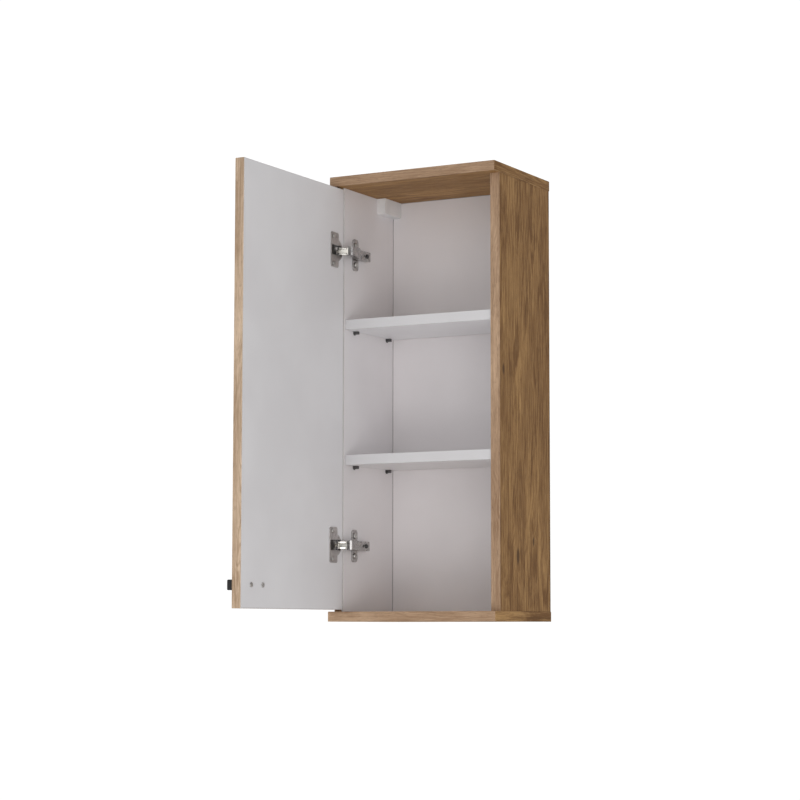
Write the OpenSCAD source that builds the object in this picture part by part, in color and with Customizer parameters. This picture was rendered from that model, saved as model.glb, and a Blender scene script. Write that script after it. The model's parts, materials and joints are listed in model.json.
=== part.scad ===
// Hanging wall cabinet with one door on two concealed cup hinges and two loose shelves.
// Millimetres, +Z up. X runs across the front, Y runs back to the wall, which is the plane y = 0.
// The origin is the middle of the top board's rear edge. The door is drawn open at a right angle.

/* [Carcass] */
// Width over the top and bottom boards
cabinet_w = 300; // [280:5:500]
// Height over the top and bottom boards
cabinet_h = 720; // [640:10:900]
// Depth of the top and bottom boards
cabinet_d = 200; // [180:5:320]
// Thickness of every board
board_t = 16; // [15:0.5:19]
// How far the side boards stop behind the front of the top board
side_setback = 19; // [18:0.5:24]
// How far the top board overhangs each side board
side_inset = 1; // [0.5:0.5:2]
// Thickness of the back panel
back_t = 3; // [2.5:0.5:4]
// Distance from the wall to the front of the back panel
back_recess = 20; // [18:1:26]
// Thickness of the glued edge bands
band_t = 1; // [0.6:0.2:1.2]

/* [Shelves] */
// Height of the lower shelf's top above the bottom board
shelf_low = 252; // [120:4:280]
// Height of the upper shelf's top above the bottom board
shelf_high = 472; // [330:4:520]
// How far the shelves stop behind the side boards' front edges
shelf_setback = 4; // [2:1:20]

/* [Door] */
// Gap between the door and the top and bottom boards
door_gap_z = 3; // [2:0.5:4]
// How far the door stops short of the cabinet's width on each side
door_gap_x = 2; // [1.5:0.5:3]
// Distance from the door's ends to the middle of each hinge
hinge_inset = 103; // [80:5:140]
// Length of the handle
handle_len = 48; // [44:2:64]
// How far the handle stands off the door
handle_out = 22; // [16:1:26]

/* [Hidden] */
$fn = 48;
eps = 0.05;                 // radial clearance of screws and pins in their holes
cut = 1;                    // how far a cutting shape runs past a face

// Carcass planes
z_top = board_t / 2;
z_bottom = z_top - cabinet_h;
z_in_top = z_top - board_t;
z_in_bottom = z_bottom + board_t;
x_out = cabinet_w / 2 - side_inset;
x_in = x_out - board_t;
x_mid = x_out - board_t / 2;
y_front = -cabinet_d;
y_side = y_front + side_setback;
y_back = -back_recess;
groove_d = 5;
groove_slack = 0.2;

// Panel screws: 7 x 50 mm in two lines, with 12 mm caps; dowels 8 x 32 mm between them
screw_y = [-40, -150];
dowel_y = [-75, -115];
screw_r = 2.5;
screw_neck_r = 3.5;
screw_head_r = 5;
screw_head_t = 3.2;
screw_len = 50;
cap_r = 6;
cap_t = 1.2;
dowel_r = 4;
dowel_in_board = 11;
dowel_in_side = 21;

// Shelves and their pins
shelf_slack = 0.5;
shelf_y0 = y_side + shelf_setback;
shelf_y1 = y_back - 1;
pin_r = 2.5;
pin_in = 10;
pin_collar_r = 4;
pin_collar_t = 1.2;
pin_out = 8;
pin_front = 33;             // pin line behind the side's front edge
pin_rear = 21;              // pin line in front of the back panel
pin_y = [y_side + pin_front, y_back - pin_rear];

// Wall hangers in the upper rear corners
hanger_l = 55;
hanger_h = 26;
hanger_w = 16;
hanger_z = z_in_top - hanger_h / 2;
cover_t = 1.4;
hanger_play = 0.3;          // between the body, its cover and the hook
hook_t = 2;
hook_x = 7;                 // hook plate's near face from the side board
hook_travel = 3;
hook_arm_h = 12;
hook_neck_h = 8;
hook_lip_h = 18;
hook_lip_t = 4;
hook_drop = 7;              // top of the hook below the top board
hook_end_y = -3;
hook_start = 12;            // hook's front end behind the cover's front
peg_r = 4;
peg_len = 10;
peg_y = [y_back - 8, y_back - 40];
adjuster_r = 2.5;
adjuster_l = 16;
adjuster_x = x_in - 12;
adjuster_y = y_back - hanger_l + cover_t + hanger_play;
adjuster_z = [hanger_z - 6, hanger_z + 6];

// Door, drawn in its own frame: u from the hinged edge, v into the cabinet, z up
door_w = cabinet_w - 2 * door_gap_x;
door_z0 = z_in_bottom + door_gap_z;
door_z1 = z_in_top - door_gap_z;
hinge_z = [door_z1 - hinge_inset, door_z0 + hinge_inset];
closed_edge = [-cabinet_w / 2 + door_gap_x, y_side - 2];
open_edge = [-x_in, y_side - 3];

// Cup hinge, 35 mm cup bored 5 mm from the door's edge
cup_r = 17.5;
cup_edge = 5;
cup_u = cup_edge + cup_r;
cup_depth = 11.5;
cup_wall = 0.8;
cup_floor = 1;
cup_slot_h = 16.4;
relief_v = 3.6;             // relief in the rim that the levers lie in when the door is wide open
relief_w = 12.6;
flange_t = 1.2;
flange_u = [17, 41];
flange_h = 57;
flange_round = 4;
cup_screw_u = cup_u + 9.5;
cup_screw_pitch = 45;
wood_screw_r = 1.75;
wood_screw_l = 13;
wood_head_r = 3.8;
wood_head_t = 1.6;

// Hinge linkage. Each lever turns against the door by its own share of the door's angle.
rear_share = 0.31;
front_share = 0.185;
rear_pin_door = [9.8, -0.7];
front_pin_door = [9.8, -4.43];
pin_cup_r = 1;
pin_arm_r = 1.2;
run = 0.05;                 // running clearance of the lever eyes
lever_t = 2.4;
lever_w = 11.6;
core_w = 5.4;               // front lever between the rear lever's cheeks
cheek_gap = 6.4;
eye_cup_r = 2.2;
eye_arm_r = 2.7;
fork = [-3.7, 2.4];         // fork from and to, along the front lever from its pin
fork_slot = [-1.35, 2.1];   // fork's slot across the lever, which leaves the open pivot its play
fork_wall = 0.8;
pin_cup_len = 20;

// Arm and mounting plate: h from the side board's inner face, d from its front edge
arm_end = 64;
arm_w = 15.2;
arm_t = 1.3;
arm_low = 12;
arm_nose = 11.5;            // how far the nose stands out past the side board's front edge
arm_high = 21.6;
plate_d = 33;
plate_h = 52;
plate_w = 17;
plate_t = 2.2;
plate_round = 5;
plate_boss_w = 12;
plate_screw_pitch = 32;
plate_screw_r = 2;
plate_head_r = 4.6;
plate_head_t = 2.2;
fix_d = 53;
adjust_d = 44;
fix_r = 2;
fix_head_r = 3.6;
fix_head_t = 1.8;

// Handle on the door's outer face near the free bottom corner
handle_h = 16;
handle_pitch = 32;
handle_u = 44;              // handle's middle from the door's free edge
handle_z = 35.5;            // handle's middle above the door's bottom
handle_neck_h = 9;
handle_head = 11;
handle_round = 2;
handle_screw_r = 2;
handle_screw_in = 9;
handle_cap_r = 4;
handle_cap_t = 1.6;

// Centre of the turn by angle a that takes point p to point q
function turn_centre(p, q, a) = (p + q) / 2 + [p[1] - q[1], q[0] - p[0]] / (2 * tan(a / 2));
// A door point, given as [u, v], when the door is closed and when it stands open
function when_closed(p) = closed_edge + p;
function when_open(p) = open_edge + [p[1], -p[0]];
// Direction of a line in degrees
function heading(p, q) = atan2(q[1] - p[1], q[0] - p[0]);

rear_pin = when_open(rear_pin_door);
front_pin = when_open(front_pin_door);
rear_pivot = turn_centre(when_closed(rear_pin_door), rear_pin, 90 * rear_share);
front_pivot = turn_centre(when_closed(front_pin_door), front_pin, 90 * front_share);

oak = [0.62, 0.47, 0.32];
oak_edge = [0.72, 0.58, 0.43];
white = [0.93, 0.93, 0.93];
steel = [0.72, 0.72, 0.71];
dark_steel = [0.32, 0.32, 0.32];
black = [0.06, 0.06, 0.06];

module block(x, y, z) {
    translate([x[0], y[0], z[0]]) cube([x[1] - x[0], y[1] - y[0], z[1] - z[0]]);
}

module rod(r, from, to) {
    translate([0, 0, from]) cylinder(r = r, h = to - from);
}

// Rounded upright rectangle in the x-z plane, extruded along y
module plate_xz(x, z, r, y) {
    translate([0, y[1], 0]) rotate([90, 0, 0]) linear_extrude(y[1] - y[0])
        union() {
            translate([x[0] + r, z[0]]) square([x[1] - x[0] - 2 * r, z[1] - z[0]]);
            translate([x[0], z[0] + r]) square([x[1] - x[0], z[1] - z[0] - 2 * r]);
            for (i = [x[0] + r, x[1] - r], j = [z[0] + r, z[1] - r]) translate([i, j]) circle(r);
        }
}

// ---------- carcass ----------

// Places a child, drawn with its length down -Z from z = 0, at each joint of the top board
module at_board_joints(ys) {
    for (s = [-1, 1], y = ys) translate([s * x_mid, y, z_top]) children();
}

// The same joint upside down at the bottom board
module at_bottom_joints(ys) {
    for (s = [-1, 1], y = ys) translate([s * x_mid, y, z_bottom]) mirror([0, 0, 1]) children();
}

module screw_holes() {
    rod(screw_neck_r + eps, -board_t - cut, 0);
    rod(screw_head_r + eps, -cap_t - screw_head_t - eps, 0);
    rod(cap_r + eps, -cap_t, cut);
}

module dowel_hole() {
    rod(dowel_r + eps, -board_t - dowel_in_side - eps, -board_t + dowel_in_board + eps);
}

module groove() {
    w = x_in + groove_d;
    block([-w, w], [y_back, y_back + back_t], [z_in_bottom - groove_d, z_in_top + groove_d]);
}

module board(z) {
    w = cabinet_w / 2 - band_t;
    block([-w, w], [y_front + band_t, 0], z);
}

module board_bands(z) {
    w = cabinet_w / 2;
    difference() {
        block([-w, w], [y_front, 0], z);
        block([-w + band_t, w - band_t], [y_front + band_t, cut], [z[0] - cut, z[1] + cut]);
    }
}

module top_panel() {
    color(oak) difference() {
        board([z_in_top, z_top]);
        at_board_joints(screw_y) screw_holes();
        at_board_joints(dowel_y) dowel_hole();
        groove();
    }
}

module bottom_panel() {
    color(oak) difference() {
        board([z_bottom, z_in_bottom]);
        at_bottom_joints(screw_y) screw_holes();
        at_bottom_joints(dowel_y) dowel_hole();
        groove();
    }
}

module edge_bands_top() {
    color(oak_edge) board_bands([z_in_top, z_top]);
}

module edge_bands_bottom() {
    color(oak_edge) board_bands([z_bottom, z_in_bottom]);
}

module pin_holes(shelf_top) {
    for (y = pin_y) translate([x_in, y, pin_axis(shelf_top)]) rotate([0, 90, 0])
        rod(pin_r + eps, -cut, pin_in + eps);
}

module hinge_pilot_holes() {
    for (z = hinge_z, s = [-1, 1])
        translate([-x_in, y_side + plate_d, z + s * plate_screw_pitch / 2]) rotate([0, -90, 0])
            rod(plate_screw_r + eps, -cut, wood_screw_l + eps);
}

module hanger_peg_holes() {
    for (y = peg_y) translate([x_in, y, hanger_z]) rotate([0, 90, 0])
        rod(peg_r + eps, -cut, peg_len + eps);
}

// Right side board; the left one is its mirror with the hinge holes added
module side_board() {
    difference() {
        block([x_in, x_out], [y_side + band_t, 0], [z_in_bottom, z_in_top]);
        groove();
        for (y = screw_y) {
            translate([x_mid, y, z_in_top]) rod(screw_r + eps, -screw_len, cut);
            translate([x_mid, y, z_in_bottom]) rod(screw_r + eps, -cut, screw_len);
        }
        at_board_joints(dowel_y) dowel_hole();
        at_bottom_joints(dowel_y) dowel_hole();
        pin_holes(shelf_low);
        pin_holes(shelf_high);
        hanger_peg_holes();
    }
}

module side_panel_right() {
    color(oak) side_board();
}

module side_panel_left() {
    color(oak) difference() {
        mirror([1, 0, 0]) side_board();
        hinge_pilot_holes();
    }
}

module edge_band_right() {
    color(oak_edge) block([x_in, x_out], [y_side, y_side + band_t], [z_in_bottom, z_in_top]);
}

module edge_band_left() {
    color(oak_edge) mirror([1, 0, 0])
        block([x_in, x_out], [y_side, y_side + band_t], [z_in_bottom, z_in_top]);
}

module back_panel() {
    w = x_in + groove_d - groove_slack;
    hook_top = z_in_top - hook_drop;
    slot = [hook_top - hook_neck_h - hook_travel - 1, hook_top + hook_travel + 1];
    color(white) difference() {
        block([-w, w], [y_back, y_back + back_t],
            [z_in_bottom - groove_d + groove_slack, z_in_top + groove_d - groove_slack]);
        for (s = [0, 1]) mirror([s, 0, 0])
            block([x_in - hook_x - hook_t - 1, x_in - hook_x + 1],
                [y_back - cut, y_back + back_t + cut], slot);
    }
}

module panel_screw() {
    rod(screw_head_r, -cap_t - screw_head_t, -cap_t);
    rod(screw_neck_r, -board_t, -cap_t - screw_head_t);
    rod(screw_r, -screw_len, -board_t);
}

module panel_screws() {
    color(steel) {
        at_board_joints(screw_y) panel_screw();
        at_bottom_joints(screw_y) panel_screw();
    }
}

module screw_caps() {
    color(oak_edge) {
        at_board_joints(screw_y) rod(cap_r, -cap_t, 0);
        at_bottom_joints(screw_y) rod(cap_r, -cap_t, 0);
    }
}

module panel_dowels() {
    color([0.80, 0.66, 0.48]) {
        at_board_joints(dowel_y) rod(dowel_r, -board_t - dowel_in_side, -board_t + dowel_in_board);
        at_bottom_joints(dowel_y) rod(dowel_r, -board_t - dowel_in_side, -board_t + dowel_in_board);
    }
}

// ---------- shelves ----------

function shelf_top_z(height) = z_in_bottom + height;
function pin_axis(height) = shelf_top_z(height) - board_t - pin_r;

module shelf(height) {
    w = x_in - shelf_slack;
    z = shelf_top_z(height);
    color(white) block([-w, w], [shelf_y0 + band_t, shelf_y1], [z - board_t, z]);
}

module shelf_band(height) {
    w = x_in - shelf_slack;
    z = shelf_top_z(height);
    color(white) block([-w, w], [shelf_y0, shelf_y0 + band_t], [z - board_t, z]);
}

// Pin with a collar on the side board and a flat-topped tongue under the shelf
module shelf_pin() {
    rotate([0, 90, 0]) rod(pin_r, 0, pin_in);
    rotate([0, 90, 0]) intersection() {
        rod(pin_collar_r, -pin_collar_t, 0);
        block([-pin_r, 8], [-8, 8], [-pin_collar_t, 0]);
    }
    block([-pin_out, -pin_collar_t], [-3, 3], [-pin_r, pin_r]);
}

module shelf_pins(height) {
    color(dark_steel) for (s = [0, 1], y = pin_y)
        mirror([s, 0, 0]) translate([x_in, y, pin_axis(height)]) shelf_pin();
}

// ---------- wall hangers ----------

// Everything of a hanger is drawn for the right corner
module hanger_side(left) {
    if (left) mirror([1, 0, 0]) children();
    else children();
}

module hanger_hook(left) {
    x0 = x_in - hook_x - hook_t;
    zt = z_in_top - hook_drop;
    y0 = y_back - hanger_l + hook_start;
    color(steel) hanger_side(left) union() {
        block([x0, x0 + hook_t], [y0, y_back - 2], [zt - hook_arm_h, zt]);
        block([x0, x0 + hook_t], [y_back - 2, hook_end_y], [zt - hook_neck_h, zt]);
        block([x0, x0 + hook_t], [hook_end_y - hook_lip_t, hook_end_y],
            [zt - hook_lip_h, zt - hook_neck_h]);
    }
}

module hanger_body(left) {
    x0 = x_in - hook_x - hook_t;
    zt = z_in_top - hook_drop;
    skin = cover_t + hanger_play;
    color(white) hanger_side(left) difference() {
        union() {
            block([x_in - hanger_w + skin, x_in], [y_back - hanger_l + skin, y_back],
                [z_in_top - hanger_h + skin, z_in_top - skin]);
            for (y = peg_y) translate([x_in, y, hanger_z]) rotate([0, 90, 0]) rod(peg_r, 0, peg_len);
        }
        block([x0 - hanger_play, x0 + hook_t + hanger_play],
            [y_back - hanger_l + hook_start - hanger_play, y_back + cut],
            [zt - hook_arm_h - hook_travel - hanger_play, zt + hook_travel + hanger_play]);
        at_adjusters() rod(adjuster_r + eps, -cut, adjuster_l + eps);
    }
}

// Places a child, drawn with its length up +Z, at each adjusting screw's front end
module at_adjusters() {
    for (z = adjuster_z) translate([adjuster_x, adjuster_y, z]) rotate([-90, 0, 0]) children();
}

module hanger_screws(left) {
    color(steel) hanger_side(left) at_adjusters() difference() {
        rod(adjuster_r, 0, adjuster_l);
        mirror([0, 0, 1]) cross_recess(1.6, 1.2);
    }
}

module hanger_cover(left) {
    y0 = y_back - hanger_l;
    color(white) hanger_side(left) difference() {
        block([x_in - hanger_w, x_in], [y0, y_back], [z_in_top - hanger_h, z_in_top]);
        block([x_in - hanger_w + cover_t, x_in + cut], [y0 + cover_t, y_back + cut],
            [z_in_top - hanger_h + cover_t, z_in_top - cover_t]);
    }
}

// ---------- door ----------

// Draws a child given in door coordinates where the open door stands
module on_door() {
    translate([open_edge[0], open_edge[1], 0]) rotate([0, 0, -90]) children();
}

module cup_bore(z) {
    translate([cup_u, cut, z]) rotate([90, 0, 0]) rod(cup_r + eps, 0, cup_depth + cut + eps);
}

module cup_screw_holes(z, r) {
    for (s = [-1, 1])
        translate([cup_screw_u, flange_t, z + s * cup_screw_pitch / 2]) rotate([90, 0, 0])
            rod(r, -cut, wood_screw_l + eps);
}

module at_handle_screws() {
    for (s = [-1, 1])
        translate([door_w - handle_u + s * handle_pitch / 2, 0, door_z0 + handle_z])
            rotate([90, 0, 0]) children();
}

module door_panel() {
    color(white) on_door() difference() {
        block([band_t, door_w - band_t], [-board_t, 0], [door_z0 + band_t, door_z1 - band_t]);
        for (z = hinge_z) {
            cup_bore(z);
            cup_screw_holes(z, wood_screw_r + eps);
        }
        at_handle_screws() rod(handle_screw_r + eps, -cut, board_t + cut);
    }
}

module edge_bands_door() {
    color(oak_edge) on_door() difference() {
        block([0, door_w], [-board_t, 0], [door_z0, door_z1]);
        block([band_t, door_w - band_t], [-board_t - cut, cut], [door_z0 + band_t, door_z1 - band_t]);
    }
}

// Section of the handle: a neck against the door and a rounded bar in front of it
module handle_section() {
    translate([-handle_neck_h / 2, 0]) square([handle_neck_h, handle_out - handle_head / 2]);
    translate([-handle_h / 2, handle_out - handle_head]) union() {
        translate([handle_round, 0]) square([handle_h - 2 * handle_round, handle_head]);
        translate([0, handle_round]) square([handle_h, handle_head - 2 * handle_round]);
        for (i = [handle_round, handle_h - handle_round], j = [handle_round, handle_head - handle_round])
            translate([i, j]) circle(handle_round);
    }
}

module handle() {
    color(black) on_door() difference() {
        translate([door_w - handle_u - handle_len / 2, -board_t, door_z0 + handle_z])
            rotate([0, 90, 0]) mirror([0, 1, 0]) linear_extrude(handle_len) handle_section();
        at_handle_screws() rod(handle_screw_r + eps, 0, board_t + handle_screw_in + 1);
    }
}

module cross_recess(r, depth) {
    for (a = [0, 90]) rotate([0, 0, a]) block([-r, r], [-0.4, 0.4], [-depth, cut]);
}

module handle_screws() {
    color(steel) on_door() at_handle_screws() difference() {
        union() {
            rod(handle_cap_r, -handle_cap_t, 0);
            rod(handle_screw_r, 0, board_t + handle_screw_in);
        }
        translate([0, 0, -handle_cap_t]) mirror([0, 0, 1]) cross_recess(2, 1);
    }
}

// ---------- cup side of a hinge ----------

module pin_along_z(p, r, len) {
    translate([p[0], p[1], -len / 2]) cylinder(r = r, h = len);
}

// Inside of the cup: the room between its two cheeks, which the arm's nose enters
module cup_room() {
    intersection() {
        translate([cup_u, cut + flange_t, 0]) rotate([90, 0, 0])
            rod(cup_r - cup_wall, 0, cup_depth - cup_floor + cut + flange_t);
        block([0, 2 * cup_u], [-cup_depth, flange_t + cut], [-cup_slot_h / 2, cup_slot_h / 2]);
    }
}

module cup(z) {
    color(steel) on_door() translate([0, 0, z]) difference() {
        union() {
            translate([cup_u, 0, 0]) rotate([90, 0, 0]) rod(cup_r, 0, cup_depth);
            translate([cup_u, flange_t, 0]) rotate([90, 0, 0]) rod(cup_r + 0.4, 0, flange_t);
            plate_xz(flange_u, [-flange_h / 2, flange_h / 2], flange_round, [0, flange_t]);
        }
        cup_room();
        block([cup_edge - cut, cup_edge + 4], [-relief_v, flange_t + cut], [-relief_w / 2, relief_w / 2]);
        cup_screw_holes(0, wood_screw_r + eps);
        pin_along_z(rear_pin_door, pin_cup_r, pin_cup_len);
        pin_along_z(front_pin_door, pin_cup_r, pin_cup_len);
    }
}

module cup_screws(z) {
    color(steel) on_door()
        for (s = [-1, 1]) translate([cup_screw_u, flange_t, z + s * cup_screw_pitch / 2])
            rotate([90, 0, 0]) difference() {
                union() {
                    rod(wood_head_r, -wood_head_t, 0);
                    rod(wood_screw_r, 0, wood_screw_l);
                }
                translate([0, 0, -wood_head_t]) mirror([0, 0, 1]) cross_recess(2, 1);
            }
}

// The rear pin is two stubs, so that the front lever can pass between them
module cup_pins(z) {
    color(dark_steel) on_door() translate([0, 0, z]) {
        pin_along_z(front_pin_door, pin_cup_r, pin_cup_len);
        difference() {
            pin_along_z(rear_pin_door, pin_cup_r, pin_cup_len);
            translate([rear_pin_door[0], rear_pin_door[1], 0]) cube([4, 4, cheek_gap - 0.4], center = true);
        }
    }
}

// ---------- cabinet side of a hinge ----------

// Draws a child given as [h, d, z] on the left side board
module on_side(z) {
    translate([-x_in, y_side, z]) children();
}

// Arm seen from above; drop lowers its top for the inside cut
module arm_outline(drop, grow) {
    polygon([
        [arm_low - drop, arm_end - drop],
        [arm_low - drop, 34],
        [arm_high - drop, 12],
        [arm_high - drop, 2.5 - arm_nose],
        [arm_high - 2.5 - drop, drop - arm_nose],
        [arm_high - 8 - grow, drop - arm_nose],
        [arm_high - 9.5 - grow, 4],
        [arm_high - 13 - grow, 14],
        [3 - grow, 24],
        [3 - grow, arm_end - drop]
    ]);
}

module hinge_arm(z) {
    pivots = [rear_pivot, front_pivot];
    color(steel) difference() {
        on_side(z) difference() {
            translate([0, 0, -arm_w / 2]) linear_extrude(arm_w) arm_outline(0, 0);
            translate([0, 0, -arm_w / 2 + arm_t]) linear_extrude(arm_w - 2 * arm_t)
                arm_outline(arm_t, 20);
            translate([arm_low, fix_d, 0]) rotate([0, 90, 0]) rod(fix_r + 0.3, -5, 5);
            translate([arm_low, adjust_d, 0]) rotate([0, 90, 0]) rod(fix_r + 0.3, -5, 5);
        }
        for (p = pivots) translate([p[0], p[1], z - arm_w / 2 - cut])
            cylinder(r = pin_arm_r, h = arm_w + 2 * cut);
    }
}

module arm_pins(z) {
    color(dark_steel) for (p = [rear_pivot, front_pivot])
        translate([p[0], p[1], z - arm_w / 2 - 0.4]) cylinder(r = pin_arm_r, h = arm_w + 0.8);
}

module mounting_plate(z) {
    inner_top = arm_low - arm_t;
    color(steel) on_side(z) difference() {
        union() {
            translate([plate_t, plate_d, 0]) rotate([0, 0, -90])
                plate_xz([-plate_w / 2, plate_w / 2], [-plate_h / 2, plate_h / 2], plate_round,
                    [-plate_t, 0]);
            block([0, inner_top], [26, arm_end - 3], [-plate_boss_w / 2, plate_boss_w / 2]);
        }
        for (s = [-1, 1]) translate([0, plate_d, s * plate_screw_pitch / 2]) rotate([0, 90, 0])
            rod(plate_screw_r + eps, -cut, plate_t + cut);
        translate([inner_top, fix_d, 0]) rotate([0, 90, 0]) rod(fix_r + eps, -8, cut);
        translate([inner_top, adjust_d, 0]) rotate([0, 90, 0]) rod(fix_r + eps, -8, cut);
    }
}

module plate_screws(z) {
    color(steel) on_side(z) for (s = [-1, 1])
        translate([plate_t, plate_d, s * plate_screw_pitch / 2]) rotate([0, 90, 0]) difference() {
            union() {
                rod(plate_head_r, 0, plate_head_t);
                rod(plate_screw_r, -plate_t - wood_screw_l, 0);
            }
            translate([0, 0, plate_head_t]) cross_recess(2.4, 1.2);
        }
}

// The fixing screw clamps the arm; the adjusting screw, in the hole beside it, sets the overlay
module arm_screws(z) {
    color(dark_steel) on_side(z) {
        translate([arm_low, fix_d, 0]) rotate([0, 90, 0]) difference() {
            union() {
                rod(fix_head_r, 0, fix_head_t);
                rod(fix_r, -arm_t - 6, 0);
            }
            translate([0, 0, fix_head_t]) cross_recess(2.4, 1.2);
        }
        translate([arm_low, adjust_d, 0]) rotate([0, 90, 0]) rod(fix_r, -arm_t - 6, -arm_t);
    }
}

// ---------- levers ----------

// Draws a child along +X from pivot a towards point b
module along(a, b, z) {
    translate([a[0], a[1], z]) rotate([0, 0, heading(a, b)]) children();
}

module bar(from, to, w) {
    block([from, to], [-lever_t / 2, lever_t / 2], [-w / 2, w / 2]);
}

// Two cheeks outside the front lever, joined by a web near the arm
module rear_lever(z) {
    len = norm(rear_pin - rear_pivot);
    color(steel) along(rear_pivot, rear_pin, z) difference() {
        union() {
            cylinder(r = eye_arm_r, h = lever_w, center = true);
            translate([len, 0, 0]) cylinder(r = eye_cup_r, h = lever_w, center = true);
            bar(0, len, lever_w);
        }
        block([len * 0.42, len + 4], [-4, 4], [-cheek_gap / 2, cheek_gap / 2]);
        cylinder(r = pin_arm_r + run, h = lever_w + cut, center = true);
        translate([len, 0, 0]) cylinder(r = pin_cup_r + run, h = lever_w + cut, center = true);
    }
}

// Wide at the arm, narrow between the rear lever's cheeks, with an open fork round the cup's pin
module front_lever(z) {
    len = norm(front_pin - front_pivot);
    outer = [fork_slot[0] - fork_wall, fork_slot[1] + fork_wall];
    color(steel) along(front_pivot, front_pin, z) difference() {
        union() {
            cylinder(r = eye_arm_r, h = lever_w, center = true);
            bar(0, len * 0.3, lever_w);
            bar(0, len + fork[0] + 0.5, core_w);
            block([len + fork[0], len + fork[1]], outer, [-core_w / 2, core_w / 2]);
        }
        cylinder(r = pin_arm_r + run, h = lever_w + cut, center = true);
        block([len + fork[0] + fork_wall + 0.4, len + fork[1] + cut], fork_slot, [-lever_w, lever_w]);
    }
}

top_panel();
bottom_panel();
side_panel_left();
side_panel_right();
back_panel();
edge_bands_top();
edge_bands_bottom();
edge_band_left();
edge_band_right();
panel_screws();
screw_caps();
panel_dowels();
shelf(shelf_high);  // shelf_upper
shelf(shelf_low);  // shelf_lower
shelf_band(shelf_high);  // edge_band_shelf_upper
shelf_band(shelf_low);  // edge_band_shelf_lower
shelf_pins(shelf_high);  // shelf_pins_upper
shelf_pins(shelf_low);  // shelf_pins_lower
hanger_body(true);  // hanger_body_left
hanger_body(false);  // hanger_body_right
hanger_cover(true);  // hanger_cover_left
hanger_cover(false);  // hanger_cover_right
hanger_hook(true);  // hanger_hook_left
hanger_hook(false);  // hanger_hook_right
hanger_screws(true);  // hanger_screws_left
hanger_screws(false);  // hanger_screws_right
door_panel();
edge_bands_door();
handle();
handle_screws();
cup(hinge_z[0]);  // cup_upper
cup(hinge_z[1]);  // cup_lower
cup_screws(hinge_z[0]);  // cup_screws_upper
cup_screws(hinge_z[1]);  // cup_screws_lower
cup_pins(hinge_z[0]);  // cup_pins_upper
cup_pins(hinge_z[1]);  // cup_pins_lower
mounting_plate(hinge_z[0]);  // mounting_plate_upper
mounting_plate(hinge_z[1]);  // mounting_plate_lower
plate_screws(hinge_z[0]);  // plate_screws_upper
plate_screws(hinge_z[1]);  // plate_screws_lower
hinge_arm(hinge_z[0]);  // hinge_arm_upper
hinge_arm(hinge_z[1]);  // hinge_arm_lower
arm_screws(hinge_z[0]);  // arm_screws_upper
arm_screws(hinge_z[1]);  // arm_screws_lower
arm_pins(hinge_z[0]);  // arm_pins_upper
arm_pins(hinge_z[1]);  // arm_pins_lower
rear_lever(hinge_z[0]);  // rear_lever_upper
rear_lever(hinge_z[1]);  // rear_lever_lower
front_lever(hinge_z[0]);  // front_lever_upper
front_lever(hinge_z[1]);  // front_lever_lower
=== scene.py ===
"""Looks of the hanging wall cabinet: refined meshes, materials, camera and studio light."""

import json
import math

import bmesh
import bpy
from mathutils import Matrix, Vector

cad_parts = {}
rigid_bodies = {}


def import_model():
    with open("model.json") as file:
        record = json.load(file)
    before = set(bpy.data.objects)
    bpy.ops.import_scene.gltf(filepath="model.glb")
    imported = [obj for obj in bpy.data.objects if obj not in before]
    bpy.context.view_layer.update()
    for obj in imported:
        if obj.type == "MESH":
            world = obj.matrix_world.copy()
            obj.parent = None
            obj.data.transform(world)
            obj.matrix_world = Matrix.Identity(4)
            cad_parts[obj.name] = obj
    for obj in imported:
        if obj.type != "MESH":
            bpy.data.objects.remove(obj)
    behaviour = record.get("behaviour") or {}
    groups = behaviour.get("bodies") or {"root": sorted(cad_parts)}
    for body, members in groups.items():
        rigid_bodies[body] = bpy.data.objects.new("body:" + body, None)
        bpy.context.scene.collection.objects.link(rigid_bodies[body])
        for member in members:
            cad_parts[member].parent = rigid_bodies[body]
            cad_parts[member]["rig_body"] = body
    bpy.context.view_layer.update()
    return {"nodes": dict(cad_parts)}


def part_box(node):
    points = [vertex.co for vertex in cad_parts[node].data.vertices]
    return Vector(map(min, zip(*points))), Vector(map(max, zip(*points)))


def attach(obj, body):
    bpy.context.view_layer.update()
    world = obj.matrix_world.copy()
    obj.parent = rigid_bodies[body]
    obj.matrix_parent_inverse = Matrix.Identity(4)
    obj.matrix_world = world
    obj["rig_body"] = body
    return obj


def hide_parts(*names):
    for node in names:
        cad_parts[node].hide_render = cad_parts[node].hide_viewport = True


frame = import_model()

MM = 0.001
ON_FACE = 0.45 * MM  # a face this close to a board's side plane belongs to that side
WELD = 0.002 * MM  # vertices this close are one
FLAT = math.radians(0.4)  # faces within this angle are one flat area
OUTWARD, ALONG, ARRIS = 0.60, 0.70, 0.45  # how far a normal has to lean to a side to count as facing it
RIM_SHARE = 0.85  # an outer rim lies beyond this share of a round head's radius
SEAM_DARK = 0.2 * MM  # a joint line is fully dark this far from the corner
SEAM_UPRIGHT, SEAM_LEVEL = 1.6 * MM, 1.4 * MM  # and it has faded out at these distances

# ---------------------------------------------------------------- material helpers


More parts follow.
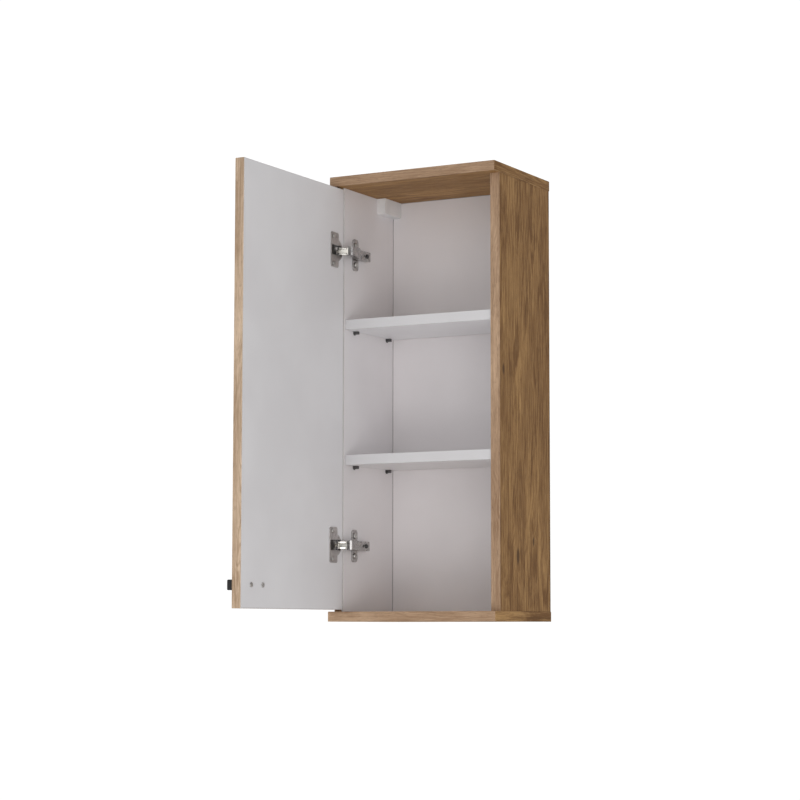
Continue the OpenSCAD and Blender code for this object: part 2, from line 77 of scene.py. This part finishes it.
class Nodes:
    """A short way to build one node tree. An input that is a socket is linked, any other is set."""

    def __init__(self, tree):
        self.tree = tree

    def add(self, kind, out=0, inputs=None, **props):
        n = self.tree.nodes.new(kind)
        for k, v in props.items():
            setattr(n, k, v)
        for k, v in (inputs or {}).items():
            if isinstance(v, bpy.types.NodeSocket):
                self.tree.links.new(v, n.inputs[k])
            else:
                n.inputs[k].default_value = v
        return n.outputs[out]

    def math(self, op, a, b=0.0, c=0.0):
        return self.add("ShaderNodeMath", inputs={0: a, 1: b, 2: c}, operation=op)

    def vec(self, op, a, b):
        return self.add("ShaderNodeVectorMath", inputs={0: a, 1: b}, operation=op)

    def noise(self, p, scale, detail=2.0, rough=0.5, distortion=0.0):
        return self.add(
            "ShaderNodeTexNoise",
            inputs={
                "Vector": p, "Scale": scale, "Detail": detail,
                "Roughness": rough, "Distortion": distortion,
            },
        )

    def span(self, x, a, b, lo=0.0, hi=1.0):
        """From lo where x is at a to hi where x is at b, with soft ends."""
        return self.add(
            "ShaderNodeMapRange",
            inputs={"Value": x, "From Min": a, "From Max": b, "To Min": lo, "To Max": hi},
            interpolation_type="SMOOTHSTEP",
        )

    def mix(self, share, a, b, blend="MIX"):
        n = self.tree.nodes.new("ShaderNodeMix")
        n.data_type, n.blend_type = "RGBA", blend
        for k, v in ((0, share), (6, a), (7, b)):
            if isinstance(v, bpy.types.NodeSocket):
                self.tree.links.new(v, n.inputs[k])
            else:
                n.inputs[k].default_value = v if k == 0 else (*v, 1.0)
        return n.outputs[2]

    def layer(self, base, mask, share, colour):
        """Lays colour over base where mask is 1, but only to the given share."""
        return self.mix(self.math("MULTIPLY", mask, share), base, colour)

    def place(self):
        """Object coordinates, in metres."""
        return self.add("ShaderNodeTexCoord", out=3)

    def split(self, v):
        n = self.tree.nodes.new("ShaderNodeSeparateXYZ")
        self.tree.links.new(v, n.inputs[0])
        return n.outputs

    def bump(self, height, distance, strength):
        return self.add(
            "ShaderNodeBump",
            inputs={"Height": height, "Distance": distance, "Strength": strength},
        )


def new_material(name):
    m = bpy.data.materials.new(name)
    m.use_nodes = True
    m.node_tree.nodes.clear()
    return m, Nodes(m.node_tree)


def close_material(n, colour, roughness, normal=None, metallic=0.0, **sockets):
    inputs = {"Base Color": colour, "Roughness": roughness, "Metallic": metallic}
    if normal is not None:
        inputs["Normal"] = normal
    inputs.update(sockets)
    surface = n.add("ShaderNodeBsdfPrincipled", inputs=inputs)
    out = n.tree.nodes.new("ShaderNodeOutputMaterial")
    n.tree.links.new(surface, out.inputs["Surface"])


def grain_space(n, grain, offset):
    """Object coordinates in metres with the grain turned along the third axis."""
    xyz = n.split(n.place())
    order = {"z": (0, 1, 2), "x": (1, 2, 0), "y": (0, 2, 1)}[grain]
    turned = n.add("ShaderNodeCombineXYZ", inputs={i: xyz[a] for i, a in enumerate(order)})
    return n.vec("ADD", turned, offset)


BOARD_TINT = (1.05, 0.915, 0.66)
TOP_TINT = tuple(1.08 * t for t in BOARD_TINT)
BAND_TINT = (1.33, 1.40, 1.70)
# Painted light: the door's upright bands are tinted paler and cooler than the other bands, standing in for
# the brighter light on the door's free edge.
DOOR_BAND_PAINTED_LIGHT_TINT = (1.80, 2.12, 2.85)
BOARD_LINE_PITCH, BOARD_LINE_DEPTH = 0.0062, 0.52  # growth lines: metres apart, and how dark
FINE_LINES = {"contrast": 0.50, "line_pitch": 0.0031, "line_depth": 1.25}  # of the narrow edge bands


def oak(
    name, grain, offset, tint=BOARD_TINT, contrast=1.0, knots=(), painted_shade_from=None,
    line_pitch=BOARD_LINE_PITCH, line_depth=BOARD_LINE_DEPTH,
):
    """Oak decor: broad bands, growth lines that bend round the knots, fibres, pores and dark streaks.
    A knot is (across 1, across 2, along the grain, radius) in metres, in the turned coordinates.
    From x = painted_shade_from on, the decor is painted over in pale grey: painted shade standing in for
    the shaded strip one sees through the gap at the door's hinged edge."""
    m, n = new_material(name)
    p = grain_space(n, grain, offset)

    def stretched(wide, long):
        return n.vec("MULTIPLY", p, (wide, wide, long))

    across = n.split(p)
    wander = n.noise(stretched(9, 2.1), 1.0, 3.0, 0.55, 0.6)
    ripple = n.noise(stretched(45, 13), 1.0, 2.0, 0.5, 0.3)
    field = n.math("MULTIPLY_ADD", wander, 0.085, n.math("MULTIPLY", ripple, 0.008))
    field = n.math("ADD", field, n.math("MULTIPLY_ADD", across[1], 0.8, across[0]))
    knot_core = None
    for a, b, along, r in knots:
        centre = Vector((a, b, along)) + Vector(offset)
        d = n.vec("MULTIPLY", n.vec("SUBTRACT", p, tuple(centre)), (1.0, 1.0, 0.42))
        length = n.add("ShaderNodeVectorMath", out=1, inputs={0: d}, operation="LENGTH")
        reach = n.math("DIVIDE", length, r)
        pull = n.math("EXPONENT", n.math("MULTIPLY", n.math("MULTIPLY", reach, reach), -0.22))
        field = n.math("MULTIPLY_ADD", pull, r * 2.6, field)
        core = n.span(reach, 0.95, 0.40)
        knot_core = core if knot_core is None else n.math("MAXIMUM", knot_core, core)
    lines = n.math("SINE", n.math("MULTIPLY", field, 2 * math.pi / line_pitch))
    lines = n.span(lines, -0.7, 1.0)
    lines_share = n.span(n.noise(stretched(24, 4.5), 1.0, 2.0), 0.40, 0.62, 0.10, 1.0)
    fibres = n.noise(stretched(880, 46), 1.0, 3.0, 0.6)
    strands = n.noise(stretched(460, 17), 1.0, 4.0, 0.68, 0.20)
    streaks = n.noise(stretched(240, 4.6), 1.0, 4.0, 0.66, 0.35)
    pores = n.span(n.noise(stretched(1500, 95), 1.0, 1.0), 0.60, 0.68)
    broken = n.math("MULTIPLY_ADD", n.math("ADD", strands, lines), 0.16, -0.16)
    bands = n.math("ADD", n.noise(stretched(24, 2.6), 1.0, 3.0, 0.5, 0.5), broken)
    patches = n.noise(stretched(26, 6.0), 1.0, 5.0, 0.66, 0.9)
    patches = n.math("MULTIPLY_ADD", n.math("SUBTRACT", strands, 0.5), 0.36, patches)

    def tone(*rgb):
        return tuple(c * t for c, t in zip(rgb, tint))

    spread = min(1.0, contrast + 0.1) / 2  # a calm decor keeps nearer the middle of its two tones
    base = n.mix(
        n.span(bands, 0.36, 0.64, 0.5 - spread, 0.5 + spread),
        tone(0.262, 0.157, 0.078), tone(0.450, 0.296, 0.160),
    )
    base = n.layer(base, n.span(patches, 0.48, 0.64), 0.74 * contrast, tone(0.162, 0.084, 0.034))
    growth = n.math("MULTIPLY", lines, lines_share)
    base = n.layer(base, growth, line_depth * contrast, tone(0.170, 0.090, 0.038))
    base = n.layer(base, n.span(strands, 0.50, 0.62), 0.50 * contrast, tone(0.158, 0.082, 0.033))
    base = n.layer(base, n.span(strands, 0.49, 0.37), 0.40 * contrast, tone(0.54, 0.375, 0.215))
    dense = n.span(patches, 0.42, 0.62, 0.25, 1.0)  # streaks gather in the dark patches
    gathered = n.math("MULTIPLY", n.span(streaks, 0.545, 0.63), dense)
    base = n.layer(base, gathered, 0.66 * contrast, tone(0.115, 0.056, 0.021))
    base = n.layer(base, n.span(fibres, 0.45, 0.75), 0.35, tone(0.17, 0.10, 0.05))
    base = n.layer(base, pores, 0.45, tone(0.09, 0.05, 0.025))
    if knot_core is not None:
        base = n.layer(base, knot_core, 0.78, (0.070, 0.034, 0.014))
    # Painted shade: past that x the oak is overlaid with a flat pale grey, standing in for the shaded
    # strip seen through the hinge gap.
    if painted_shade_from is not None:
        x = n.split(n.place())[0]
        base = n.mix(n.math("GREATER_THAN", x, painted_shade_from), base, (0.74, 0.73, 0.73))
    roughness = n.span(fibres, 0.3, 0.7, 0.52, 0.66)
    relief = n.math("MULTIPLY_ADD", pores, -0.6, fibres)
    close_material(n, base, roughness, n.bump(relief, 0.06 * MM, 0.6), **{"Specular IOR Level": 0.22})
    return m


def white_board(name, seam=None, warm=0.0, light=1.0):
    """White melamine with a fine pearl grain.
    seam = (half width, lowest z, highest z) darkens the joint lines there."""
    m, n = new_material(name)
    p = n.place()
    cloud = n.noise(p, 6.0, 3.0)
    fine = n.noise(p, 1400.0, 2.0)
    # light below 1 makes a darker copy of the melamine: painted shade.
    # warm makes a warmer copy of the melamine: a painted warm cast.
    shade = (light, light * (1 - warm * 0.8), light * (1 - warm))

    def white(*rgb):
        return tuple(c * t for c, t in zip(rgb, shade))

    base = n.mix(n.span(cloud, 0.35, 0.65), white(0.755, 0.745, 0.755), white(0.795, 0.787, 0.797))
    base = n.layer(base, n.span(fine, 0.55, 0.75), 0.10, white(0.68, 0.67, 0.68))
    if seam:
        x, _, z = n.split(p)
        side, low, high = seam
        edge = n.span(n.math("ABSOLUTE", x), side - SEAM_UPRIGHT, side - SEAM_DARK)
        foot = n.span(z, low + SEAM_LEVEL, low + SEAM_DARK)
        head = n.span(z, high - SEAM_LEVEL, high - SEAM_DARK)
        line = n.math("MAXIMUM", edge, n.math("MAXIMUM", foot, head))
        base = n.layer(base, line, 0.80, (0.10, 0.085, 0.08))
    close_material(n, base, n.span(cloud, 0.3, 0.7, 0.36, 0.46), n.bump(fine, 0.02 * MM, 0.35))
    return m


def chipboard(name):
    """Raw chipboard edge: pressed flakes and darker gaps between them."""
    m, n = new_material(name)
    p = n.place()
    flakes = n.add("ShaderNodeTexVoronoi", out=1, inputs={"Vector": p, "Scale": 620.0})
    dust = n.noise(p, 900.0, 4.0, 0.7)
    base = n.mix(n.span(dust, 0.35, 0.65), (0.33, 0.22, 0.125), (0.56, 0.42, 0.27))
    base = n.mix(0.30, base, flakes, "MULTIPLY")
    base = n.mix(0.55, base, (0.47, 0.34, 0.21))
    base = n.layer(base, n.span(dust, 0.62, 0.75), 0.6, (0.12, 0.075, 0.04))
    close_material(n, base, 0.88, n.bump(dust, 0.3 * MM, 0.7))
    return m


def hardboard(name):
    """Brown rear of the thin back panel: pressed fibres, with cloudy darker places."""
    m, n = new_material(name)
    p = n.place()
    fibre = n.noise(p, 380.0, 5.0, 0.65)
    cloud = n.noise(p, 9.0, 2.0)
    base = n.mix(n.span(fibre, 0.35, 0.65), (0.165, 0.098, 0.052), (0.27, 0.172, 0.098))
    base = n.layer(base, n.span(cloud, 0.4, 0.7), 0.3, (0.13, 0.078, 0.04))
    close_material(n, base, 0.78, n.bump(fibre, 0.15 * MM, 0.6))
    return m


def metal(name, dark, bright, rough):
    """Plated steel with cloudy plating, fine scratches and a roughness that varies."""
    m, n = new_material(name)
    p = n.place()
    cloud = n.noise(p, 140.0, 3.0)
    lines = n.noise(n.vec("MULTIPLY", p, (900, 2400, 260)), 1.0, 2.0)
    base = n.mix(n.span(cloud, 0.3, 0.7), dark, bright)
    base = n.layer(base, n.span(lines, 0.6, 0.75), 0.35, dark)
    uneven = n.span(cloud, 0.3, 0.7, rough - 0.06, rough + 0.08)
    roughness = n.math("ADD", uneven, n.span(lines, 0.6, 0.8, 0.0, 0.08))
    close_material(n, base, roughness, n.bump(lines, 0.01 * MM, 0.5), metallic=1.0)
    return m


def moulded(name, colour, deep, rough, grain_scale=1800.0):
    """Moulded plastic: a fine eroded grain and slightly uneven colour."""
    m, n = new_material(name)
    p = n.place()
    cloud = n.noise(p, 35.0, 2.0)
    fine = n.noise(p, grain_scale, 2.0)
    base = n.mix(n.span(cloud, 0.3, 0.7), deep, colour)
    roughness = n.span(fine, 0.3, 0.7, rough - 0.05, rough + 0.06)
    close_material(n, base, roughness, n.bump(fine, 0.03 * MM, 0.5))
    return m


# ---------------------------------------------------------------- materials

SIDE_LO, SIDE_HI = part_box("side_panel_right")
INNER_X = SIDE_LO.x
FACE_X = SIDE_HI.x  # outer faces of both sides, and of the door where it stands open
GAP_SHOWS = 2.6 * MM  # how far one sees in through the gap at the door's hinged edge

MATERIALS = {
    "oak_side": oak(
        "oak_side_upright", "z", (0.31, 0.12, 0.05), contrast=1.22,
        knots=[
            (FACE_X, -0.168, -0.318, 0.0050),
            (FACE_X, -0.062, -0.585, 0.0042),
            (FACE_X, -0.118, -0.610, 0.0075),
        ],
    ),
    "oak_side_left": oak(
        "oak_side_left_upright", "z", (0.77, 0.43, 0.91), knots=[(-FACE_X, -0.060, -0.210, 0.0065)]
    ),
    "oak_door": oak(
        "oak_door_upright", "z", (1.31, 0.72, 1.45),
        knots=[(-FACE_X, -0.300, -0.250, 0.0085), (-FACE_X, -0.395, -0.520, 0.0060)],
    ),
    "oak_top": oak("oak_boards_across", "x", (0.52, 0.88, 0.27), tint=TOP_TINT, contrast=1.2),
    "band_x": oak("oak_band_across", "x", (0.20, 0.64, 0.73), tint=BAND_TINT, **FINE_LINES),
    "band_y": oak("oak_band_ends", "y", (0.41, 0.23, 0.66)),
    "band_z": oak("oak_band_upright", "z", (0.57, 0.35, 0.18), tint=BAND_TINT, **FINE_LINES),
    # The left band is painted pale grey where it shows through the hinge gap: painted shade, not the
    # band's own colour.
    "band_left": oak(
        "oak_band_left_painted_gap_shade", "z", (0.27, 0.55, 0.38), tint=BAND_TINT,
        painted_shade_from=-INNER_X - GAP_SHOWS, **FINE_LINES,
    ),
    # The door's upright bands carry painted light: a paler tint for the brighter light on its free edge.
    "band_door": oak(
        "oak_band_door_painted_light", "z", (0.83, 0.15, 0.58), tint=DOOR_BAND_PAINTED_LIGHT_TINT, **FINE_LINES
    ),
    "white": white_board("white_melamine"),
    # Painted shade: the shelves' front edging is a darker copy of the white melamine, toning down these
    # lit front edges.
    "white_edge": white_board("white_edging", light=0.84),
    # Painted light: the inner faces of the sides and back are warmer copies of the white melamine,
    # standing in for the warm light inside the carcass.
    "white_inside": white_board("white_melamine_inside_painted_warm", warm=0.028),
    "white_back": white_board("white_back_face_painted_warm", seam=(INNER_X, SIDE_LO.z, SIDE_HI.z), warm=0.034),
    "chip": chipboard("raw_chipboard"),
    "rear": hardboard("hardboard_rear"),
    "steel": metal("nickel_plated_steel", (0.50, 0.485, 0.475), (0.64, 0.625, 0.61), 0.33),
    "arm": metal("nickel_plated_arms", (0.39, 0.38, 0.375), (0.53, 0.515, 0.505), 0.27),
    # Painted highlight: the levers get a paler, ivory-tinted copy of the plated steel, standing in for the
    # bright shine on the lever plates.
    "bright": metal("lever_steel_painted_shine", (0.66, 0.64, 0.59), (0.86, 0.84, 0.78), 0.22),
    "pin": metal("plated_shelf_pins", (0.07, 0.07, 0.07), (0.17, 0.168, 0.165), 0.34),
    "dark": metal("dark_steel_pins", (0.07, 0.07, 0.075), (0.17, 0.17, 0.17), 0.38),
    "zinc": metal("zinc_plated_screws", (0.46, 0.45, 0.43), (0.68, 0.67, 0.65), 0.36),
    "plastic": moulded("white_plastic", (0.80, 0.80, 0.80), (0.74, 0.74, 0.745), 0.38),
    "cap": moulded("oak_coloured_caps", (0.36, 0.225, 0.115), (0.27, 0.165, 0.080), 0.48),
    "black": moulded("black_handle_coat", (0.020, 0.020, 0.021), (0.011, 0.011, 0.012), 0.36, 900.0),
    "beech": oak("beech_dowels", "z", (0.9, 0.2, 0.6), tint=(1.7, 1.7, 1.6), contrast=0.3),
}

# ---------------------------------------------------------------- mesh helpers


def by_planes(node, faces, other):
    """Picks a face's material: faces maps "-x", "+x" and so on to the material of that side of
    the node's box. Every face elsewhere gets the other material."""
    lo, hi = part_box(node)

    def pick(centre, normal):
        for side, mat in faces.items():
            axis = "xyz".index(side[1])
            plane = (hi if side[0] == "+" else lo)[axis]
            facing = normal[axis] if side[0] == "+" else -normal[axis]
            if facing > OUTWARD and abs(centre[axis] - plane) < ON_FACE:
                return mat
        return other

    return pick


def by_band(centre, normal):
    """Edge bands of the top and bottom boards: the grain runs along each band."""
    return "band_y" if abs(normal.x) > ALONG else "band_x"


def inner_white(band):
    """Bands beside a white inner face: their inner arris is white with it."""

    def pick(centre, normal):
        inward = normal.x if centre.x < 0 else -normal.x
        return "white" if inward > ARRIS else band

    return pick


def door_band(centre, normal):
    """The door's upright bands have upright grain, its top and bottom bands run along its width."""
    if normal.x > ARRIS:
        return "white"
    return "band_y" if abs(normal.z) > ALONG else "band_door"


def island_rims(bm, axis, share):
    """Edges on the outer rim of each separate solid, at least share of its radius from its own axis."""
    axis = "xyz".index(axis)
    flat = [i for i in range(3) if i != axis]
    seen, rims = set(), set()
    for start in bm.verts:
        if start in seen:
            continue
        island, todo = [], [start]
        seen.add(start)
        while todo:
            v = todo.pop()
            island.append(v)
            for e in v.link_edges:
                o = e.other_vert(v)
                if o not in seen:
                    seen.add(o)
                    todo.append(o)
        middle = [(min(v.co[i] for v in island) + max(v.co[i] for v in island)) / 2 for i in flat]
        reach = {v: math.hypot(*(v.co[i] - m for i, m in zip(flat, middle))) for v in island}
        limit = share * max(reach.values())
        for v in island:
            for e in v.link_edges:
                if all(reach[w] > limit for w in e.verts):
                    rims.add(e)
    return rims


def refine(node, pick, width=0.3, segments=2, limit=35.0, rim=None):
    """A new piece from a CAD node's shape: flat areas made whole, sharp edges rounded, a material for
    each side. Edges over limit degrees are sharp, and width is their rounding in millimetres.
    rim = (axis, width) rounds the outer rim of round heads by another width."""
    src = frame["nodes"][node]
    bm = bmesh.new()
    bm.from_mesh(src.data)
    bmesh.ops.remove_doubles(bm, verts=bm.verts, dist=WELD)
    bmesh.ops.dissolve_limit(
        bm, angle_limit=FLAT, use_dissolve_boundaries=False,
        verts=bm.verts, edges=bm.edges, delimit={"NORMAL"},
    )
    sharp_from = math.radians(limit)
    sharp = [e for e in bm.edges if len(e.link_faces) == 2 and e.calc_face_angle(0.0) > sharp_from]
    rims = island_rims(bm, rim[0], RIM_SHARE) if rim else set()
    groups = [([e for e in sharp if e not in rims], width)]
    if rim:
        groups.append(([e for e in sharp if e in rims], rim[1]))
    for edges, w in groups:
        edges = [e for e in edges if e.is_valid]
        if edges and w > 0:
            bmesh.ops.bevel(
                bm, geom=edges, offset=w * MM, offset_type="OFFSET", segments=segments, profile=0.5,
                affect="EDGES", clamp_overlap=False, miter_outer="SHARP",
            )
    bmesh.ops.recalc_face_normals(bm, faces=bm.faces)
    names = []
    for f in bm.faces:
        f.smooth = True
        key = pick if isinstance(pick, str) else pick(f.calc_center_median(), f.normal)
        if key not in names:
            names.append(key)
        f.material_index = names.index(key)
    mesh = bpy.data.meshes.new(f"{node}_shape")
    bm.to_mesh(mesh)
    bm.free()
    for key in names:
        mesh.materials.append(MATERIALS[key])
    mesh.set_sharp_from_angle(angle=sharp_from)
    piece = bpy.data.objects.new(f"{node}_look", mesh)
    bpy.context.scene.collection.objects.link(piece)
    weigh = piece.modifiers.new("even_normals", "WEIGHTED_NORMAL")
    weigh.keep_sharp = True
    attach(piece, src["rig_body"])
    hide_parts(node)


# ---------------------------------------------------------------- boards

for node in ("top_panel", "bottom_panel"):
    refine(node, by_planes(node, {"+z": "oak_top", "-z": "oak_top"}, "chip"), 0.1)
for node, faces, width in (
    ("side_panel_left", {"-x": "oak_side_left", "+x": "white_inside"}, 0.1),
    ("side_panel_right", {"+x": "oak_side", "-x": "white_inside"}, 0.1),
    ("door_panel", {"-x": "oak_door", "+x": "white"}, 0.08),
):
    refine(node, by_planes(node, faces, "chip"), width)
refine("back_panel", by_planes("back_panel", {"-y": "white_back"}, "rear"), 0.1)
for node in ("shelf_upper", "shelf_lower"):
    refine(node, by_planes(node, {"+z": "white", "-z": "white"}, "chip"), 0.1)
for node in ("edge_bands_top", "edge_bands_bottom"):
    refine(node, by_band, 0.45, 3)
refine("edge_band_left", inner_white("band_left"), 0.4, 3)
refine("edge_band_right", inner_white("band_z"), 0.4, 3)
for node in ("edge_band_shelf_upper", "edge_band_shelf_lower"):
    refine(node, "white_edge", 0.4, 3)
refine("edge_bands_door", door_band, 0.45, 3)

# ---------------------------------------------------------------- fittings

refine("panel_screws", "zinc", 0.15)
refine("screw_caps", "cap", 0.35, 3)
refine("panel_dowels", "beech", 0.5)
for node in ("shelf_pins_upper", "shelf_pins_lower"):
    refine(node, "pin", 0.3)
for side in ("left", "right"):
    refine(f"hanger_body_{side}", "plastic", 0.3)
    refine(f"hanger_cover_{side}", "plastic", 0.6, 3)
    refine(f"hanger_hook_{side}", "zinc", 0.3)
    refine(f"hanger_screws_{side}", "zinc", 0.2)
refine("handle", "black", 0.9, 3, 60.0)
refine("handle_screws", "zinc", 0.15, rim=("x", 0.8))
for place in ("upper", "lower"):
    refine(f"cup_{place}", "steel", 0.2)
    refine(f"cup_screws_{place}", "zinc", 0.12, 3, rim=("x", 0.8))
    refine(f"cup_pins_{place}", "dark", 0.15)
    refine(f"mounting_plate_{place}", "arm", 0.25)
    refine(f"plate_screws_{place}", "zinc", 0.15, 3, rim=("x", 1.1))
    refine(f"hinge_arm_{place}", "arm", 0.3)
    refine(f"arm_screws_{place}", "dark", 0.12, 3, rim=("x", 0.7))
    refine(f"arm_pins_{place}", "dark", 0.15)
    # The levers take the copy of plated steel that has a painted highlight.
    refine(f"rear_lever_{place}", "bright", 0.2)
    refine(f"front_lever_{place}", "bright", 0.2)

# ---------------------------------------------------------------- stage, light and camera

top_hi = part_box("top_panel")[1]
bottom_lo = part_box("bottom_panel")[0]
MIDDLE = Vector((0.0, top_hi.y, (top_hi.z + bottom_lo.z) / 2))  # rear plane, at mid-height

FLOOR_Z = MIDDLE.z - 1.85
FLOOR_HALF = 9.0
BACKDROP_RADIUS = 16.0


def stage_object(name, mesh, material):
    """Seen behind the object, but it throws no extra light on it."""
    o = bpy.data.objects.new(name, mesh)
    mesh.materials.append(material)
    bpy.context.scene.collection.objects.link(o)
    o.visible_diffuse = False
    o.visible_glossy = False
    o.visible_shadow = False


floor_mat, n = new_material("pale_floor")
tint = n.noise(n.place(), 1.5, 2.0)
close_material(
    n, n.mix(tint, (0.90, 0.90, 0.90), (0.93, 0.93, 0.93)), 0.9,
    **{"Emission Color": (1, 1, 1, 1), "Emission Strength": 0.6},
)
floor_mesh = bpy.data.meshes.new("floor")
corners = ((-1, -1), (1, -1), (1, 1), (-1, 1))
floor_mesh.from_pydata([(i * FLOOR_HALF, j * FLOOR_HALF, FLOOR_Z) for i, j in corners], [], [(0, 1, 2, 3)])
stage_object("floor", floor_mesh, floor_mat)

backdrop_mat, n = new_material("pale_backdrop")
glow = n.add("ShaderNodeEmission", inputs={"Color": (1, 1, 1, 1), "Strength": 1.05})
out = n.tree.nodes.new("ShaderNodeOutputMaterial")
n.tree.links.new(glow, out.inputs["Surface"])
bm = bmesh.new()
bmesh.ops.create_uvsphere(bm, u_segments=32, v_segments=16, radius=BACKDROP_RADIUS)
bmesh.ops.translate(bm, verts=bm.verts, vec=MIDDLE)
backdrop_mesh = bpy.data.meshes.new("backdrop")
bm.to_mesh(backdrop_mesh)
bm.free()
stage_object("backdrop", backdrop_mesh, backdrop_mat)


def soft_light(name, place, size, power, colour=(1, 1, 1)):
    light = bpy.data.lights.new(name, "AREA")
    light.shape, light.size, light.energy, light.color = "DISK", size, power, colour
    o = bpy.data.objects.new(name, light)
    o.location = MIDDLE + Vector(place)
    o.rotation_mode = "QUATERNION"
    o.rotation_quaternion = (-Vector(place)).to_track_quat("-Z", "Y")
    o.visible_camera = False
    bpy.context.scene.collection.objects.link(o)


soft_light("key", (-0.6, -3.2, 1.4), 2.4, 14, (1.0, 0.99, 0.98))
soft_light("fill", (2.4, -2.4, -0.6), 2.4, 30, (1.0, 0.99, 1.0))
soft_light("low", (0.3, -2.2, -1.7), 2.0, 14, (1.0, 0.97, 0.96))
soft_light("rear", (-1.0, 2.6, 1.8), 2.0, 22)

world = bpy.data.worlds.new("studio")
world.use_nodes = True
sky = world.node_tree.nodes["Background"]
sky.inputs["Color"].default_value = (1.0, 1.0, 1.0, 1.0)
sky.inputs["Strength"].default_value = 0.50
bpy.context.scene.world = world
bpy.context.scene.view_settings.view_transform = "Standard"

CAMERA_FROM_MIDDLE = Vector((1.7365, -3.3387, -0.3711))
CAMERA_YAW, CAMERA_PITCH = math.radians(28.20), math.radians(5.43)
CAMERA_LENS, CAMERA_SHIFT = 102.56, (-0.05, 0.015)
camera_data = bpy.data.cameras.new("camera")
camera_data.sensor_width = 36.0
camera_data.lens = CAMERA_LENS
camera_data.shift_x, camera_data.shift_y = CAMERA_SHIFT
camera_data.clip_end = 60.0
camera = bpy.data.objects.new("camera", camera_data)
camera.location = MIDDLE + CAMERA_FROM_MIDDLE
look = Vector((
    -math.sin(CAMERA_YAW) * math.cos(CAMERA_PITCH),
    math.cos(CAMERA_YAW) * math.cos(CAMERA_PITCH),
    math.sin(CAMERA_PITCH),
))
camera.rotation_mode = "QUATERNION"
camera.rotation_quaternion = look.to_track_quat("-Z", "Y")
bpy.context.scene.collection.objects.link(camera)
bpy.context.scene.camera = camera
